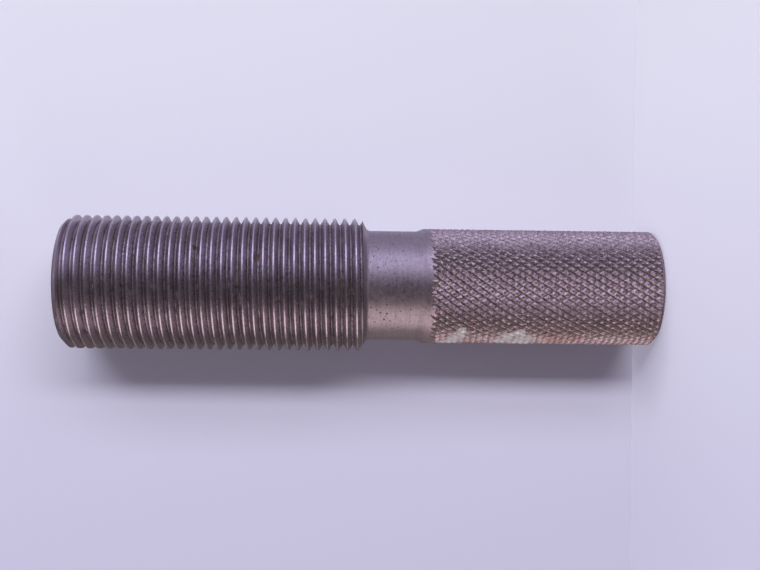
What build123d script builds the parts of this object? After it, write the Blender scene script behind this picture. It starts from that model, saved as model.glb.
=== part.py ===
from build123d import *
from math import ceil, radians, tan
import os

# Ground thread: sixty degree form, right hand, twelve turns to the inch
major_diameter = 28.575
pitch = 25.4 / 12
flank_angle = 60.0
crest_flat = pitch / 8
root_flat = pitch / 8
thread_length = 63.0
# From the entry face down to the middle of the first full crest, on the +X side
first_crest_inset = 2.2

# Chamfer at the entry end, taken a little below the thread's roots
entry_chamfer_depth = 1.45
entry_chamfer_angle = 45.0

# Plain neck, turned below the roots, with a bevel up to the thread
neck_relief = 1.2
neck_length = 10.6
shoulder_angle = 65.0
shoulder_fillet = 1.1

# Handle: a grip a little larger than the neck, bevelled above and chamfered at its foot
grip_step = 0.6
grip_bevel_length = 1.6
grip_length = 49.8
foot_chamfer = 0.9

# Centre hole in each end, for turning and grinding
centre_angle = 60.0
centre_mouth_diameter = 6.0
centre_pilot_diameter = 2.5
centre_pilot_length = 3.0

# Cutting room: the groove cutter and the turned outline reach past the crests,
# the groove runs past both ends of the thread, and the bar past both ends of the gauge
cutter_rise = 0.05
turning_room = 1.0
groove_overrun_turns = 2
bar_overrun_turns = 4

# Radii that follow
flank_slope = tan(radians(flank_angle / 2))
thread_depth = (pitch - crest_flat - root_flat) / 2 / flank_slope
major_radius = major_diameter / 2
root_radius = major_radius - thread_depth
neck_radius = root_radius - neck_relief
grip_radius = neck_radius + grip_step
entry_radius = major_radius - entry_chamfer_depth
turning_radius = major_radius + turning_room
centre_mouth_radius = centre_mouth_diameter / 2
centre_pilot_radius = centre_pilot_diameter / 2

# Heights that follow, counted up from the foot
neck_foot = grip_length + grip_bevel_length
neck_top = neck_foot + neck_length
shoulder_slope = tan(radians(shoulder_angle))
entry_slope = tan(radians(entry_chamfer_angle))
thread_foot = neck_top + (major_radius - neck_radius) / shoulder_slope
overall_length = thread_foot + thread_length
centre_cone_depth = (centre_mouth_radius - centre_pilot_radius) / tan(radians(centre_angle / 2))
centre_depth = centre_cone_depth + centre_pilot_length

# Groove: its middle lies half a pitch from the crests, and it spans whole turns
top_groove = overall_length - first_crest_inset + pitch / 2
thread_turns = ceil(thread_length / pitch)
groove_turns = thread_turns + 2 * groove_overrun_turns
groove_foot = top_groove - (thread_turns + groove_overrun_turns) * pitch
groove_mouth = pitch - crest_flat + 2 * cutter_rise * flank_slope

with BuildPart() as gauge_body:
    # Round bar at the crest diameter
    with Locations((0, 0, -bar_overrun_turns * pitch)):
        Cylinder(
            major_radius,
            overall_length + 2 * bar_overrun_turns * pitch,
            rotation=(0, 0, 90),
            align=(Align.CENTER, Align.CENTER, Align.MIN),
        )

    # Thread groove, swept turn by turn up its helix and cut out of the bar
    with BuildLine() as groove_path:
        for turn in range(groove_turns):
            Helix(pitch=pitch, height=pitch, radius=root_radius, center=(0, 0, groove_foot + turn * pitch))
    with BuildSketch(Plane(origin=(0, 0, groove_foot), x_dir=(1, 0, 0), z_dir=(0, 1, 0))):
        Polygon(
            (root_radius, -root_flat / 2),
            (major_radius + cutter_rise, -groove_mouth / 2),
            (major_radius + cutter_rise, groove_mouth / 2),
            (root_radius, root_flat / 2),
            align=None,
        )
    sweep(path=groove_path.wires()[0], is_frenet=True, clean=False, mode=Mode.SUBTRACT)

    # Turned outline, half its section: it clears the crests and keeps what lies inside
    with BuildSketch(Plane.XZ) as half_section:
        with BuildLine():
            Polyline(
                (0, centre_depth),
                (centre_pilot_radius, centre_depth),
                (centre_pilot_radius, centre_cone_depth),
                (centre_mouth_radius, 0),
                (grip_radius - foot_chamfer, 0),
                (grip_radius, foot_chamfer),
                (grip_radius, grip_length),
                (neck_radius, neck_foot),
                (neck_radius, neck_top),
                (turning_radius, neck_top + (turning_radius - neck_radius) / shoulder_slope),
                (turning_radius, overall_length - (turning_radius - entry_radius) / entry_slope),
                (entry_radius, overall_length),
                (centre_mouth_radius, overall_length),
                (centre_pilot_radius, overall_length - centre_cone_depth),
                (centre_pilot_radius, overall_length - centre_depth),
                (0, overall_length - centre_depth),
                close=True,
            )
        make_face()
        # The neck runs into the bevel under the thread in a round corner
        neck_corner = half_section.vertices().sort_by_distance((neck_radius, neck_top))[0]
        fillet(neck_corner, radius=shoulder_fillet)
    revolve(axis=Axis.Z, clean=False, mode=Mode.INTERSECT)

os.makedirs("parts", exist_ok=True)
gauge_body.part.label = "gauge_body"
export_step(gauge_body.part, "parts/gauge_body.step")
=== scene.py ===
from math import cos, pi, radians, sin, tan
from random import Random
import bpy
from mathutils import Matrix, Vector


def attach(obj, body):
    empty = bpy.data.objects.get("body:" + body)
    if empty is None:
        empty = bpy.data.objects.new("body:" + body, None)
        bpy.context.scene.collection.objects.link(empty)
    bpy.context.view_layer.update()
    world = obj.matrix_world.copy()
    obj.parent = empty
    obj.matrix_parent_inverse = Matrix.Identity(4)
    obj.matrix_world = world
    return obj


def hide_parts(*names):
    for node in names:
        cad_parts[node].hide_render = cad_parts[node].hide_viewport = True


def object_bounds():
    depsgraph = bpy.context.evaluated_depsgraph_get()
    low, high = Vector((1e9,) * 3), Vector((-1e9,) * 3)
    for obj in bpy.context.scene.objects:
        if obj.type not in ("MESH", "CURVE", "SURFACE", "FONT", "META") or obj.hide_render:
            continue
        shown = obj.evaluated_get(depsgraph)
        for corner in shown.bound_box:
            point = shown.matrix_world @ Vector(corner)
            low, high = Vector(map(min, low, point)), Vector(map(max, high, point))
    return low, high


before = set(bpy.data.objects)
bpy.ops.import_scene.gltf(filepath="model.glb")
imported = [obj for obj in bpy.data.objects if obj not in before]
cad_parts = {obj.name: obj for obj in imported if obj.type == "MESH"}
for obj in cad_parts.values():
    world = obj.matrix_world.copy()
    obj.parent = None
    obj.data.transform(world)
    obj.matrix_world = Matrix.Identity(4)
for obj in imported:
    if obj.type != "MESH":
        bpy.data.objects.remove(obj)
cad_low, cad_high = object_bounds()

from types import SimpleNamespace

import bmesh
import bpy
from mathutils import Matrix, Vector

MM = 0.001

# Driving sizes of the gauge in millimetres; the crest radius and the length come from the frame
crest_radius = cad_high.x / MM
overall_length = cad_high.z / MM
pitch = 25.4 / 12
flank_angle = 60.0
crest_flat = pitch / 8
root_flat = pitch / 8
thread_length = 63.0
first_crest_inset = 2.2
entry_chamfer = 1.45
neck_relief = 1.2
shoulder_angle = 65.0
shoulder_fillet = 1.1
grip_step = 0.6
grip_bevel_length = 1.6
grip_length = 49.8
foot_chamfer = 0.9
centre_mouth_radius = 3.0
centre_pilot_radius = 1.25
centre_pilot_length = 3.0
centre_angle = 60.0
edge_break = 0.12

# Diamond knurl on the grip: two families of grooves that cross
knurl_starts = 50
knurl_axial_pitch = 2.59
knurl_depth = 0.38
knurl_flank = 43.0
knurl_groove_floor = 0.03
knurl_back_extra = 0.08
knurl_stop = 47.9
knurl_stop_spread = 0.45
knurl_run_out = 0.8
knurl_unevenness = 0.025
knurl_sweep = 0.00033
knurl_sweep_start = 25.0
knurl_seed = 11

# Radii and heights that follow
flank_slope = tan(radians(flank_angle / 2))
root_radius = crest_radius - (pitch - crest_flat - root_flat) / 2 / flank_slope
neck_radius = root_radius - neck_relief
grip_radius = neck_radius + grip_step
thread_foot = overall_length - thread_length
neck_foot = grip_length + grip_bevel_length
neck_top = thread_foot - (crest_radius - neck_radius) / tan(radians(shoulder_angle))
centre_cone = (centre_mouth_radius - centre_pilot_radius) / tan(radians(centre_angle / 2))
centre_depth = centre_cone + centre_pilot_length

# Fineness of the mesh: steps round the axis, degrees in an arc step, mesh lines across a diamond
round_segments = 160
arc_step = 14.0
knurl_lines = (0, 0.12, 0.5, 0.88)
fine = len(knurl_lines)
weld_distance = 0.002
crease_angle = 24.0

# The cutting tools reach past the bar by these lengths
groove_rise = 0.05
groove_spare_turns = 4
sleeve_radius = 1.4 * crest_radius
sleeve_lift = 3.0
bar_spare = 2 * crest_radius


def new_mesh(name, points, faces):
    """A closed mesh object from points in millimetres, with its faces turned outwards."""
    mesh = bpy.data.meshes.new(name)
    mesh.from_pydata([Vector(p) * MM for p in points], [], faces)
    form = bmesh.new()
    form.from_mesh(mesh)
    bmesh.ops.recalc_face_normals(form, faces=form.faces)
    form.to_mesh(mesh)
    form.free()
    piece = bpy.data.objects.new(name, mesh)
    bpy.context.scene.collection.objects.link(piece)
    return piece


def rounded(corners):
    """The outline with each corner (radius, height, fillet) turned into a short arc."""
    outline = []
    for k, (r, z, fillet) in enumerate(corners):
        here = Vector((r, z))
        if not fillet:
            outline.append(here)
            continue
        before = (Vector(corners[k - 1][:2]) - here).normalized()
        after = (Vector(corners[k + 1][:2]) - here).normalized()
        half = before.angle(after) / 2
        reach = fillet / tan(half)
        middle = here + (before + after).normalized() * fillet / sin(half)
        start = here + before * reach - middle
        turn = (here + after * reach - middle).angle_signed(start)
        steps = max(2, round(abs(turn) / radians(arc_step)))
        for step in range(steps + 1):
            outline.append(middle + Matrix.Rotation(turn * step / steps, 2) @ start)
    return outline


def turned_outline():
    """The outline from the bottom of the foot's centre hole round to the bottom of the other one."""
    top = overall_length
    return rounded([
        (0, centre_depth, 0),
        (centre_pilot_radius, centre_depth, 0),
        (centre_pilot_radius, centre_cone, 0),
        (centre_mouth_radius, 0, edge_break),
        (grip_radius - foot_chamfer, 0, edge_break),
        (grip_radius, foot_chamfer, edge_break),
        (grip_radius, grip_length, edge_break),
        (neck_radius, neck_foot, edge_break),
        (neck_radius, neck_top, shoulder_fillet),
        (crest_radius, thread_foot, 0),
        (crest_radius, top - entry_chamfer, 0),
        (crest_radius - entry_chamfer, top, edge_break),
        (centre_mouth_radius, top, edge_break),
        (centre_pilot_radius, top - centre_cone, 0),
        (centre_pilot_radius, top - centre_depth, 0),
        (0, top - centre_depth, 0),
    ])


def turned_body():
    """The gauge as turned, with plain crests and a plain grip."""
    outline = turned_outline()
    points = [(0, 0, outline[0].y), (0, 0, outline[-1].y)]
    rings = []
    for r, z in outline[1:-1]:
        rings.append(range(len(points), len(points) + round_segments))
        for k in range(round_segments):
            angle = 2 * pi * k / round_segments
            points.append((r * cos(angle), r * sin(angle), z))
    faces = []
    for k in range(round_segments):
        n = (k + 1) % round_segments
        faces.append((0, rings[0][k], rings[0][n]))
        faces.append((1, rings[-1][k], rings[-1][n]))
        for low, high in zip(rings, rings[1:]):
            faces.append((low[k], low[n], high[n], high[k]))
    return new_mesh("gauge", points, faces)


def thread_groove():
    """The groove between the thread's turns, as a solid that winds up past both ends of the thread."""
    mouth = pitch - crest_flat + 2 * groove_rise * flank_slope
    section = [
        (root_radius, -root_flat / 2),
        (crest_radius + groove_rise, -mouth / 2),
        (crest_radius + groove_rise, mouth / 2),
        (root_radius, root_flat / 2),
    ]
    corners = len(section)
    turns = int(thread_length / pitch) + groove_spare_turns
    foot = overall_length - first_crest_inset + pitch / 2 - (turns - groove_spare_turns / 2) * pitch
    points, faces = [], []
    for k in range(turns * round_segments + 1):
        angle = 2 * pi * k / round_segments
        for r, z in section:
            points.append((r * cos(angle), r * sin(angle), foot + pitch * k / round_segments + z))
    for k in range(turns * round_segments):
        for c in range(corners):
            a, b = k * corners + c, k * corners + (c + 1) % corners
            faces.append((a, b, b + corners, a + corners))
    faces.append(tuple(range(corners)))
    faces.append(tuple(range(len(points) - corners, len(points))))
    return new_mesh("thread_groove", points, faces)


def knurl_grooves(dice, extra):
    """One family of grooves, as a function that gives the flank's height at line t and height z."""
    spacing = 1 / ((knurl_starts / (2 * pi * grip_radius)) ** 2 + knurl_axial_pitch ** -2) ** 0.5
    slope = tan(radians(knurl_flank)) * spacing
    depths = [extra + dice.uniform(-1, 1) * knurl_unevenness for _ in range(knurl_starts)]
    stops = [knurl_stop + dice.uniform(-1, 1) * knurl_stop_spread for _ in range(knurl_starts)]

    def height(t, z):
        k = round(t)
        flank = max(abs(t - k) * slope, knurl_groove_floor)
        k %= knurl_starts
        return flank - depths[k] + knurl_run_out * max(0, z - stops[k])

    return height


class KnurlNet:
    """Points of the knurl on a net of lines u and v, which wind up the bar either way.

    The grooves of the two families run along the whole numbers of u and of v."""

    def __init__(self):
        self.dice = Random(knurl_seed)
        self.forward = knurl_grooves(self.dice, 0)
        self.backward = knurl_grooves(self.dice, knurl_back_extra)
        self.points = []
        self.index = {}

    def place(self, i, j):
        """The point where mesh line i of one family crosses mesh line j of the other."""
        u = i // fine + knurl_lines[i % fine]
        v = j // fine + knurl_lines[j % fine]
        z = (u - v) * knurl_axial_pitch / 2
        angle = pi * (u + v) / knurl_starts + knurl_sweep * max(0, z - knurl_sweep_start) ** 2
        r = grip_radius - knurl_depth + min(self.forward(u, z), self.backward(v, z))
        r += self.dice.uniform(-1, 1) * knurl_unevenness
        return r * cos(angle), r * sin(angle), z

    def vertex(self, i, j):
        """The number of that point, which is the same after a full turn round the bar."""
        shift = (i + j) // (2 * fine * knurl_starts) * fine * knurl_starts
        key = (i - shift, j - shift)
        if key not in self.index:
            self.index[key] = len(self.points)
            self.points.append(self.place(*key))
        return self.index[key]

    def diamond(self, i0, j0):
        """The triangles of one diamond, with creases from its crossings to its top."""
        faces = []
        for i in range(fine):
            for j in range(fine):
                quad = [self.vertex(i0 + i + a, j0 + j + b) for a, b in ((0, 0), (1, 0), (1, 1), (0, 1))]
                if (i < fine / 2) != (j < fine / 2):
                    quad = quad[1:] + quad[:1]
                faces.append((quad[0], quad[1], quad[2]))
                faces.append((quad[0], quad[2], quad[3]))
        return faces


def bar_ends(points, low_edge, high_edge):
    """The faces that close the bar: a cone below the foot, and above the grip a wide sleeve."""
    rings = [high_edge]
    for z in (neck_foot + sleeve_lift, overall_length + bar_spare):
        ring = []
        for k in high_edge:
            x, y, _ = points[k]
            flat = Vector((x, y)).normalized() * sleeve_radius
            ring.append(len(points))
            points.append((flat.x, flat.y, z))
        rings.append(ring)
    below, above = len(points), len(points) + 1
    points += [(0, 0, -bar_spare / 4), (0, 0, overall_length + bar_spare + 1)]
    faces = []
    count = len(high_edge)
    for k in range(count):
        n = (k + 1) % count
        faces.append((below, low_edge[k], low_edge[n]))
        faces.append((above, rings[-1][k], rings[-1][n]))
        for low, high in zip(rings, rings[1:]):
            faces.append((low[k], low[n], high[n], high[k]))
    return faces


def knurled_bar():
    """A bar that carries the knurl below and clears the rest of the gauge above."""
    net = KnurlNet()
    faces, low_edge, high_edge = [], [], []
    low_row, high_row = -1, int(grip_length / knurl_axial_pitch * 2) + 1
    for row in range(low_row, high_row + 1):
        for cell in range(knurl_starts):
            i0 = fine * (cell + row - row // 2)
            j0 = fine * (cell - row // 2)
            faces += net.diamond(i0, j0)
            if row == low_row:
                low_edge += [net.vertex(i0, j0 + k) for k in range(fine)]
                low_edge += [net.vertex(i0 + k, j0 + fine) for k in range(fine)]
            if row == high_row:
                high_edge += [net.vertex(i0 + k, j0) for k in range(fine)]
                high_edge += [net.vertex(i0 + fine, j0 + k) for k in range(fine)]
    faces += bar_ends(net.points, low_edge, high_edge)
    return new_mesh("knurled_bar", net.points, faces)


def cut(piece, tool, operation):
    """The piece's mesh becomes the boolean of piece and tool, and the tool goes."""
    step = piece.modifiers.new("cut", "BOOLEAN")
    step.operation = operation
    step.solver = "MANIFOLD"
    step.object = tool
    view = bpy.context.evaluated_depsgraph_get()
    made = bpy.data.meshes.new_from_object(piece.evaluated_get(view))
    piece.modifiers.clear()
    piece.data = made
    bpy.data.objects.remove(tool)


def finish_mesh(piece):
    """Join points that fall together, leave triangles only, and keep the edges crisp."""
    form = bmesh.new()
    form.from_mesh(piece.data)
    bmesh.ops.remove_doubles(form, verts=form.verts, dist=weld_distance * MM)
    bmesh.ops.triangulate(form, faces=form.faces)
    form.to_mesh(piece.data)
    form.free()
    piece.data.shade_smooth()
    piece.data.set_sharp_from_angle(angle=radians(crease_angle))


class Graph:
    """Short calls that add nodes to one tree."""

    def __init__(self, tree):
        self.tree = tree

    def node(self, kind, inputs=(), **settings):
        made = self.tree.nodes.new(kind)
        for name, value in settings.items():
            setattr(made, name, value)
        for name, value in dict(inputs).items():
            self.put(made.inputs[name], value)
        return made

    def put(self, socket, value):
        if isinstance(value, bpy.types.NodeSocket):
            self.tree.links.new(value, socket)
        else:
            socket.default_value = value

    def math(self, operation, a, b=0.0, clamp=False):
        return self.node("ShaderNodeMath", {0: a, 1: b}, operation=operation, use_clamp=clamp).outputs[0]

    def times(self, first, *others):
        for other in others:
            first = self.math("MULTIPLY", first, other)
        return first

    def ramp(self, value, low, high, to_low=0.0, to_high=1.0):
        made = self.node("ShaderNodeMapRange", interpolation_type="SMOOTHSTEP")
        for socket, put in zip(made.inputs, (value, low, high, to_low, to_high)):
            self.put(socket, put)
        return made.outputs[0]

    def mix(self, share, a, b):
        made = self.node("ShaderNodeMix", data_type="RGBA")
        for name, put in (("Factor_Float", share), ("A_Color", a), ("B_Color", b)):
            self.put(next(s for s in made.inputs if s.identifier == name), put)
        return next(s for s in made.outputs if s.identifier == "Result_Color")

    def noise(self, vector, scale, detail=3.0, rough=0.55):
        made = self.node("ShaderNodeTexNoise", {
            "Vector": vector, "Scale": scale, "Detail": detail, "Roughness": rough})
        return made.outputs[0]

    def split(self, vector):
        return self.node("ShaderNodeSeparateXYZ", {0: vector}).outputs

    def show(self, shader):
        """Make this shader the material's surface."""
        self.put(self.tree.nodes["Material Output"].inputs["Surface"], shader)


def new_material(name):
    material = bpy.data.materials.new(name)
    material.use_nodes = True
    return material, Graph(material.node_tree)


# Colours on the gauge
steel_pale = (0.56, 0.505, 0.55, 1)
steel_deep = (0.46, 0.41, 0.445, 1)
streak_grey = (0.34, 0.295, 0.315, 1)
speck_dark = (0.15, 0.115, 0.12, 1)
speck_pale = (0.72, 0.67, 0.70, 1)
thread_tint = (0.67, 0.605, 0.695, 1)
knurl_tint = (0.68, 0.565, 0.585, 1)
grit_dark = (0.20, 0.155, 0.155, 1)
grit_pale = (0.90, 0.80, 0.82, 1)
# dirt and painted shade: the colour given to the bottoms of the grooves
dirt_and_shade_brown = (0.10, 0.077, 0.07, 1)
crest_bright = (0.78, 0.74, 0.78, 1)
rust_brown = (0.062, 0.027, 0.016, 1)
knurl_stain = (0.42, 0.21, 0.17, 1)
pit_black = (0.035, 0.022, 0.02, 1)
chalk_white = (0.91, 0.86, 0.88, 1)

# Marks on the gauge as (degrees round the axis from the camera's side towards +X, height, size)
neck_pits = (
    (40, 59.8, 0.20), (18, 59.8, 0.22), (26, 56.1, 0.20), (38, 54.6, 0.18), (10, 61.1, 0.22), (8, 53.7, 0.18),
    (-20, 57.9, 0.24), (-23, 61.2, 0.22), (-29, 59.2, 0.22), (-30, 57.9, 0.24), (-37, 58.4, 0.25),
    (-41, 60.3, 0.18), (-39, 57.2, 0.19), (-48, 55.4, 0.18), (-25, 52.9, 0.19), (12, 56.4, 0.22),
    (22, 58.3, 0.15), (30, 60.8, 0.15), (15, 57.6, 0.14), (-26, 60.0, 0.16), (-34, 61.5, 0.15),
    (-44, 58.9, 0.14), (-33, 56.0, 0.15), (-27, 55.0, 0.14), (24, 61.4, 0.15), (33, 57.4, 0.14),
)
rust_blooms = (
    (-53, 119.7, 1.3), (25, 84.3, 1.5), (33, 97.5, 1.2),
    (-14, 88.0, 1.0), (-62, 70.5, 1.1), (160, 103.0, 1.6),
)
knurl_rust = ((-70, 21.5, 2.6), (-58, 23.5, 2.0), (-64, 18.0, 2.2))
chalk_smears = (
    (-80, 44.4, 2.7), (-70, 43.6, 2.4), (-61, 42.8, 1.9), (-53, 42.1, 1.4), (-49, 41.9, 1.0),
    (-80, 29.0, 3.2), (-66, 28.6, 2.8), (-55, 29.6, 2.0), (-72, 33.2, 2.6), (-60, 32.0, 2.0),
)

# Where the finishes begin and end, in millimetres
thread_finish = (neck_top + 0.6, neck_top + 1.2)
knurl_finish = (grip_length + 1.0, grip_length - 0.9)
knurl_finish_rag = 2.6
clean_entry = (overall_length - 1, overall_length - 16)
clean_foot = (foot_chamfer, foot_chamfer + 0.3)
knurl_top_wear = 0.02
rust_depth = 0.7
rust_squeeze = 2.2
soft_core = 0.55


def round_the_axis(g, x, y, z, stretch):
    """The place with its sideways share scaled: a small share draws a pattern out round the axis."""
    return g.node("ShaderNodeCombineXYZ", {0: g.times(x, stretch), 1: g.times(y, stretch), 2: z}).outputs[0]


def steel_places(g):
    """The place on the gauge in millimetres, and the masks and noises that the finishes share."""
    place = g.node("ShaderNodeTexCoord").outputs["Object"]
    at = g.node("ShaderNodeVectorMath", {0: place, "Scale": 1 / MM}, operation="SCALE").outputs[0]
    x, y, z = g.split(at)
    radius = g.math("SQRT", g.math("ADD", g.times(x, x), g.times(y, y)))
    ragged_z = g.math("ADD", z, g.times(g.noise(at, 0.9, 3.0), knurl_finish_rag))
    return SimpleNamespace(
        at=at,
        z=z,
        on_thread=g.ramp(z, *thread_finish),
        on_knurl=g.ramp(ragged_z, *knurl_finish),
        thread_rise=g.ramp(radius, root_radius, crest_radius),
        knurl_rise=g.ramp(radius, grip_radius - knurl_depth, grip_radius - knurl_top_wear),
        streaks=g.noise(round_the_axis(g, x, y, z, 0.03), 4.0, 4.0),
        stains=g.noise(round_the_axis(g, x, y, z, 0.2), 0.9, 5.0),
        specks=g.noise(round_the_axis(g, x, y, z, 0.8), 2.6, 3.0, 0.65),
        crumbs=g.noise(round_the_axis(g, x, y, z, 0.6), 4.6, 3.0, 0.65),
    )


def marks(g, p, spots, r, rag, scale, squeeze=1.0):
    """A mask that is 1 inside the spots at radius r, with edges ragged by noise of that scale.

    The squeeze shortens the spots along the axis."""
    ragged = g.times(g.math("SUBTRACT", g.noise(p.at, scale, 4.0), 0.5), 2 * rag)
    drawn = g.node("ShaderNodeVectorMath", {0: p.at, 1: (1, 1, squeeze)}, operation="MULTIPLY").outputs[0]
    mask = 0.0
    for angle, height, size in spots:
        middle = (r * sin(radians(angle)), -r * cos(radians(angle)), height * squeeze)
        away = g.node("ShaderNodeVectorMath", {0: drawn, 1: middle}, operation="DISTANCE").outputs["Value"]
        inside = g.ramp(g.math("ADD", away, ragged), size, size * soft_core)
        mask = g.math("MAXIMUM", inside, mask)
    return mask


def bare_steel(g, p):
    """Steel, a little uneven, with turning marks, fine specks, and grit on the knurl."""
    steel = g.mix(g.noise(p.at, 0.22, 3.0), steel_pale, steel_deep)
    steel = g.mix(g.ramp(p.streaks, 0.42, 0.7, 0.0, 0.45), steel, streak_grey)
    steel = g.mix(g.ramp(p.specks, 0.56, 0.70, 0.0, 0.6), steel, speck_dark)
    steel = g.mix(g.ramp(p.specks, 0.45, 0.30, 0.0, 0.35), steel, speck_pale)
    steel = g.mix(g.times(p.on_thread, 0.55), steel, thread_tint)
    steel = g.mix(g.times(p.on_knurl, 0.7), steel, knurl_tint)
    grit = g.noise(p.at, 3.4, 2.0, 0.6)
    steel = g.mix(g.times(p.on_knurl, g.ramp(grit, 0.49, 0.62, 0.0, 0.75)), steel, grit_dark)
    return g.mix(g.times(p.on_knurl, g.ramp(grit, 0.46, 0.34, 0.0, 0.75)), steel, grit_pale)


def thread_dirt_and_shade(g, p):
    """Oil and dirt with painted shade low in the thread, darker towards the roots, and crumbs of dirt on the
    flanks away from the entry end.
    """
    # painted shade and dirt: the colour darkens towards the roots of the thread
    low = g.times(g.ramp(p.thread_rise, 0.3, 0.0, 0.0, 0.65), g.ramp(p.stains, 0.35, 0.62, 0.35, 1.0))
    fouled = g.times(g.ramp(p.crumbs, 0.53, 0.60, 0.0, 0.85), g.ramp(p.z, *clean_entry, 0.2, 1.0))
    dirt_and_shade = g.math("ADD", low, fouled, clamp=True)
    return g.times(dirt_and_shade, p.on_thread, g.ramp(p.thread_rise, 1.0, 0.9))


def knurl_dirt_and_shade(g, p):
    """Dirt with painted shade at the bottom of the knurl's grooves, patchy, and none on the foot's chamfer.
    """
    # painted shade and dirt: darker towards the bottoms of the grooves
    low = g.times(p.on_knurl, g.ramp(p.knurl_rise, 0.10, 0.0, 0.0, 0.65))
    return g.times(low, g.ramp(p.z, *clean_foot), g.ramp(p.crumbs, 0.35, 0.6, 0.55, 1.0))


def worn_crests(g, p):
    """The thread's crests, rubbed bright here and there."""
    return g.times(p.on_thread, g.ramp(p.thread_rise, 0.97, 0.995), g.ramp(p.specks, 0.62, 0.42, 0.15, 1.0))


def thread_rust(g, p):
    """Rust blooms over the crests, and small rust low in the grooves."""
    blooms = marks(g, p, rust_blooms, crest_radius - rust_depth, 0.9, 0.9, rust_squeeze)
    low = g.times(g.ramp(p.thread_rise, 0.8, 0.3), g.ramp(g.noise(p.at, 0.5, 5.0, 0.7), 0.56, 0.68))
    return g.times(g.math("MAXIMUM", blooms, low), p.on_thread, 0.92)


def knurl_chalk(g, p):
    """Chalky smears on the knurl, thinner in places."""
    smears = marks(g, p, chalk_smears, grip_radius, 1.0, 0.45)
    return g.times(smears, g.ramp(g.noise(p.at, 1.6, 3.0), 0.3, 0.5, 0.4, 0.97))


def steel_roughness(g, p, dirt_and_shade, worn, dull):
    """The worn crests shine most; the dirt and painted shade in the grooves, and dull marks, shine least."""
    rough = g.ramp(g.noise(p.at, 1.1, 4.0), 0.3, 0.7, 0.36, 0.48)
    for mask, change in ((p.on_thread, -0.10), (p.on_knurl, -0.04), (dirt_and_shade, 0.15), (worn, -0.12), (dull, 0.4)):
        rough = g.math("ADD", rough, g.times(mask, change), clamp=True)
    return rough


def steel_grain(g, p, pits):
    """Fine relief: turning marks and specks all over, crumbs on thread and knurl, and sunk pits."""
    crumbly = g.times(g.math("MAXIMUM", p.on_thread, p.on_knurl), p.crumbs, 1.5)
    grain = g.math("ADD", g.times(p.streaks, 0.6), p.specks)
    grain = g.math("SUBTRACT", g.math("ADD", grain, crumbly), pits)
    return g.node("ShaderNodeBump", {"Height": grain, "Strength": 0.8, "Distance": 0.03 * MM}).outputs[0]


def gauge_steel():
    """Darkened tool steel whose finish follows the place on the gauge."""
    material, g = new_material("gauge_steel")
    p = steel_places(g)
    # dirt and painted shade low in the thread's and the knurl's grooves
    dirt_and_shade = g.math("MAXIMUM", thread_dirt_and_shade(g, p), knurl_dirt_and_shade(g, p))
    worn = worn_crests(g, p)
    rust = thread_rust(g, p)
    stained = g.times(marks(g, p, knurl_rust, grip_radius, 1.2, 0.8), 0.4)
    pits = g.times(marks(g, p, neck_pits, neck_radius, 0.16, 3.0), 0.85)
    chalk = knurl_chalk(g, p)
    colour = bare_steel(g, p)
    for mask, coat in (
        (dirt_and_shade, dirt_and_shade_brown),
        (g.times(worn, 0.75), crest_bright),
        (rust, rust_brown),
        (stained, knurl_stain),
        (pits, pit_black),
        (chalk, chalk_white),
    ):
        colour = g.mix(mask, colour, coat)
    dull = g.math("MAXIMUM", g.math("MAXIMUM", rust, pits), chalk)
    metal = g.times(g.math("SUBTRACT", 1.0, g.times(dirt_and_shade, 0.15)), g.math("SUBTRACT", 1.0, dull))
    shader = g.tree.nodes["Principled BSDF"]
    g.put(shader.inputs["Base Color"], colour)
    g.put(shader.inputs["Roughness"], steel_roughness(g, p, dirt_and_shade, worn, dull))
    g.put(shader.inputs["Metallic"], metal)
    g.put(shader.inputs["Normal"], steel_grain(g, p, pits))
    return material


def build_gauge():
    """The turned bar with its knurl and its thread cut, in place of the solid."""
    gauge = turned_body()
    cut(gauge, knurled_bar(), "INTERSECT")
    cut(gauge, thread_groove(), "DIFFERENCE")
    finish_mesh(gauge)
    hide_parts("gauge_body")
    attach(gauge, "root")
    gauge.data.materials.clear()
    gauge.data.materials.append(gauge_steel())


# Camera: fitted to the photograph, which shows the gauge with its thread to the left
photo_width = 760
focal_pixels = 1081.6
sensor_width = 36
camera_place = Vector((0.054, -234.02, 66.41))
camera_tilt = 0.0315
camera_roll = 0.0121


def add_camera():
    """The camera, turned so that +X is up in the picture and the gauge's foot is to the right."""
    ahead = Vector((0, cos(camera_tilt), -sin(camera_tilt)))
    level_right = Vector((0, -sin(camera_tilt), -cos(camera_tilt)))
    level_up = Vector((1, 0, 0))
    right = level_right * cos(camera_roll) + level_up * sin(camera_roll)
    up = level_up * cos(camera_roll) - level_right * sin(camera_roll)
    camera = bpy.data.objects.new("camera", bpy.data.cameras.new("camera"))
    camera.data.sensor_fit = "HORIZONTAL"
    camera.data.sensor_width = sensor_width
    camera.data.lens = sensor_width * focal_pixels / photo_width
    camera.data.clip_start = 0.01
    turn = Matrix((right, up, -ahead)).transposed().to_4x4()
    camera.matrix_world = Matrix.Translation(camera_place * MM) @ turn
    bpy.context.scene.collection.objects.link(camera)
    bpy.context.scene.camera = camera


# Lamps: the steel's lamps are tall, and all lengths are in metres
steel_lamp_distance = 0.6
steel_lamp_height = 1.2
white = (1.0, 1.0, 1.0)


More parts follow.
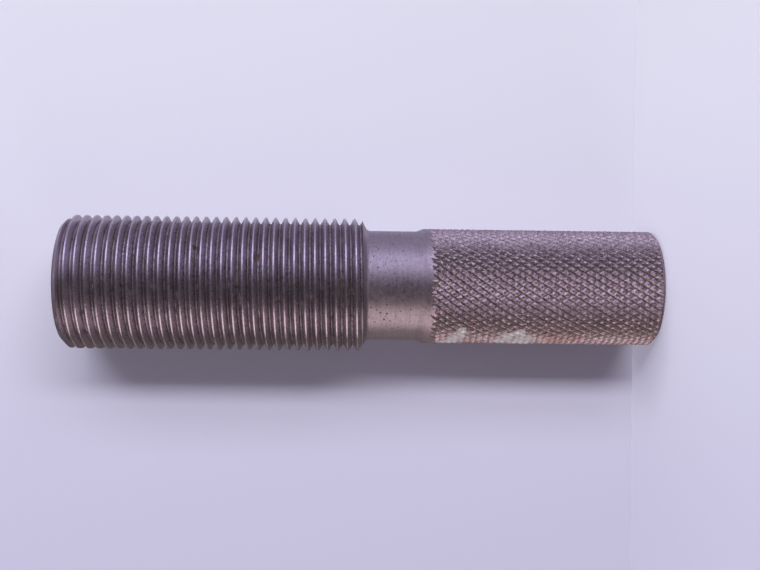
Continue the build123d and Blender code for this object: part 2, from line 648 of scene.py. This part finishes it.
def softbox(name, angle, rise, distance, width, height, colour, radiance):
    """A soft lamp that faces the gauge.

    The angle runs round the axis from the camera's side towards +X, and the rise lifts the lamp."""
    light = bpy.data.lights.new(name, "AREA")
    light.shape = "RECTANGLE"
    light.size, light.size_y = width, height
    light.color = colour
    light.energy = radiance * pi * width * height
    lamp = bpy.data.objects.new(name, light)
    turn = Matrix.Rotation(radians(angle), 4, "Z") @ Matrix.Rotation(radians(90 - rise), 4, "X")
    middle = Vector((0, 0, overall_length * MM / 2))
    lamp.matrix_world = Matrix.Translation(middle) @ turn @ Matrix.Translation((0, 0, distance))
    lamp.visible_camera = False
    bpy.context.scene.collection.objects.link(lamp)
    return lamp


def steel_lamp(name, angle, rise, width, colour, radiance):
    """A tall lamp that only the steel mirrors."""
    lamp = softbox(name, angle, rise, steel_lamp_distance, width, steel_lamp_height, colour, radiance)
    lamp.visible_diffuse = False


def paper_lamp(*placed):
    """A lamp for the paper that the steel doesn't mirror."""
    lamp = softbox(*placed)
    lamp.visible_glossy = False
    return lamp


def add_lamps():
    """Lamps for the steel, then for the paper, where the leaning one gives the floor its shadow."""
    steel_lamp("key_light", 51, 0, 0.42, (0.76, 0.69, 1.0), 0.78)
    steel_lamp("fill_light", -72, 0, 0.54, (1.0, 0.80, 0.84), 0.9)
    steel_lamp("back_light", 158, 4, 0.45, (0.84, 0.78, 1.0), 0.32)
    paper_lamp("room_light", 30, 5, 0.7, 0.12, 0.9, white, 9.9)
    paper_lamp("far_light", 44, 5, 0.7, 0.14, 0.9, white, 3.0)
    top_light = paper_lamp("top_light", 0, 88, 0.8, 0.4, 0.4, white, 5.76)
    top_light.data.use_shadow = False
    paper_lamp("lean_light", 60, 86, 0.8, 0.08, 0.08, white, 81)
    paper_lamp("side_light", -86, -15, 0.7, 0.2, 0.2, (1.0, 0.97, 1.0), 14)


def stage_mesh(name, points, faces, material):
    """A piece of the stage, with points in metres, that casts no shadow."""
    mesh = bpy.data.meshes.new(name)
    mesh.from_pydata([Vector(p) for p in points], [], faces)
    mesh.materials.append(material)
    piece = bpy.data.objects.new(name, mesh)
    bpy.context.scene.collection.objects.link(piece)
    piece.visible_diffuse = False
    piece.visible_shadow = False
    return piece


# Paper: tones from the -X side to the +X side, paler towards +X as painted light, with the floor toned apart
# from the wall to even out their lighting; the tone far away, and places in metres
wall_painted_light_tones = (0.755, 0.73, 0.955, 1), (0.85, 0.85, 0.995, 1)
floor_painted_light_tones = (0.668, 0.646, 0.853, 1), (0.818, 0.818, 0.952, 1)
far_tone = (0.65, 0.62, 0.82, 1)
tone_span = (-0.06, 0.06)
paper_fade = (0.2, 0.45)
paper_reach = 0.5
paper_clearance = 0.05


def paper():
    """Pale paper that fades into the background with distance and can be seen through from behind. Its tone
    is painted light: paler towards +X, with the floor toned apart from the wall to even out their lighting.
    """
    material, g = new_material("paper")
    geometry = g.node("ShaderNodeNewGeometry")
    painted_light_across = g.ramp(g.split(geometry.outputs["Position"])[0], *tone_span)
    upward = g.split(geometry.outputs["Normal"])[2]
    shader = g.tree.nodes["Principled BSDF"]
    # painted light: the paper's tone rises towards +X, and floor and wall get their own tones
    g.put(shader.inputs["Base Color"], g.mix(upward, g.mix(painted_light_across, *wall_painted_light_tones), g.mix(painted_light_across, *floor_painted_light_tones)))
    g.put(shader.inputs["Roughness"], 0.9)
    g.put(shader.inputs["Specular IOR Level"], 0.0)
    far = g.node("ShaderNodeVectorMath", {0: geometry.outputs["Position"]}, operation="LENGTH")
    gone = g.math("MAXIMUM", g.ramp(far.outputs["Value"], *paper_fade), geometry.outputs["Backfacing"])
    clear = g.node("ShaderNodeBsdfTransparent")
    g.show(g.node("ShaderNodeMixShader", {0: gone, 1: shader.outputs[0], 2: clear.outputs[0]}).outputs[0])
    return material


def add_paper():
    """A floor, and a backdrop that stands on it close behind the gauge."""
    back = (crest_radius + paper_clearance) * MM
    ends = [(-paper_reach, 0), (paper_reach, 0), (back, 0), (back, paper_reach)]
    points = [(side * paper_reach, y, z) for y, z in ends for side in (-1, 1)]
    sheet = stage_mesh("paper", points, [(0, 1, 3, 2), (4, 5, 7, 6)], paper())
    sheet.visible_glossy = False


# Dark card: its tone, its distance and heights in metres, and how far it reaches either way in degrees
card_tone = (0.088, 0.080, 0.084, 1)
card_distance = 0.26
card_angles = (-20, 14)
card_low, card_high = -0.2, 0.35


def add_card():
    """A dark card round the camera, seen only in the steel."""
    material, g = new_material("flag")
    g.show(g.node("ShaderNodeEmission", {"Color": card_tone}).outputs[0])
    left, right = (card_distance * tan(radians(angle)) for angle in card_angles)
    corners = [(left, card_low), (right, card_low), (right, card_high), (left, card_high)]
    points = [(x, -card_distance, z) for x, z in corners]
    card = stage_mesh("flag", points, [(0, 1, 2, 3)], material)
    card.visible_camera = False


# Room that the steel mirrors: warm towards -X and cool towards +X
room_warm = (1.0, 0.83, 0.82, 1)
room_cool = (0.78, 0.71, 1.0, 1)
room_on_paper = 0.5


def room_level(g, x, y, side):
    """The room's brightness by direction: paler towards +X, with a glow behind the gauge."""
    level = g.times(g.ramp(side, 0.0, 1.0, 0.09, 0.48), g.ramp(y, 0.55, 0.95, 1.0, 0.6))
    behind = g.times(g.ramp(y, 0.15, 0.7, 0.0, 0.32), g.ramp(x, -0.8, -0.5, 1.0, 0.45))
    return g.math("MAXIMUM", level, behind)


def add_world():
    """The camera sees plain paper colour; the steel sees the room, and the paper a dimmer one."""
    world = bpy.data.worlds.new("world")
    world.use_nodes = True
    g = Graph(world.node_tree)
    shown = g.tree.nodes["Background"]
    g.put(shown.inputs["Color"], far_tone)
    path = g.node("ShaderNodeLightPath").outputs
    x, y, _ = g.split(g.node("ShaderNodeTexCoord").outputs["Generated"])
    side = g.ramp(x, -0.8, 0.8)
    share = g.ramp(path["Is Glossy Ray"], 0.0, 1.0, room_on_paper, 1.0)
    room = g.node("ShaderNodeBackground", {
        "Color": g.mix(side, room_warm, room_cool), "Strength": g.times(room_level(g, x, y, side), share)})
    mixed = g.node("ShaderNodeMixShader", {0: path["Is Camera Ray"], 1: room.outputs[0], 2: shown.outputs[0]})
    g.put(g.tree.nodes["World Output"].inputs["Surface"], mixed.outputs[0])
    bpy.context.scene.world = world


build_gauge()
add_camera()
add_lamps()
add_paper()
add_card()
add_world()
bpy.context.scene.view_settings.view_transform = "Standard"
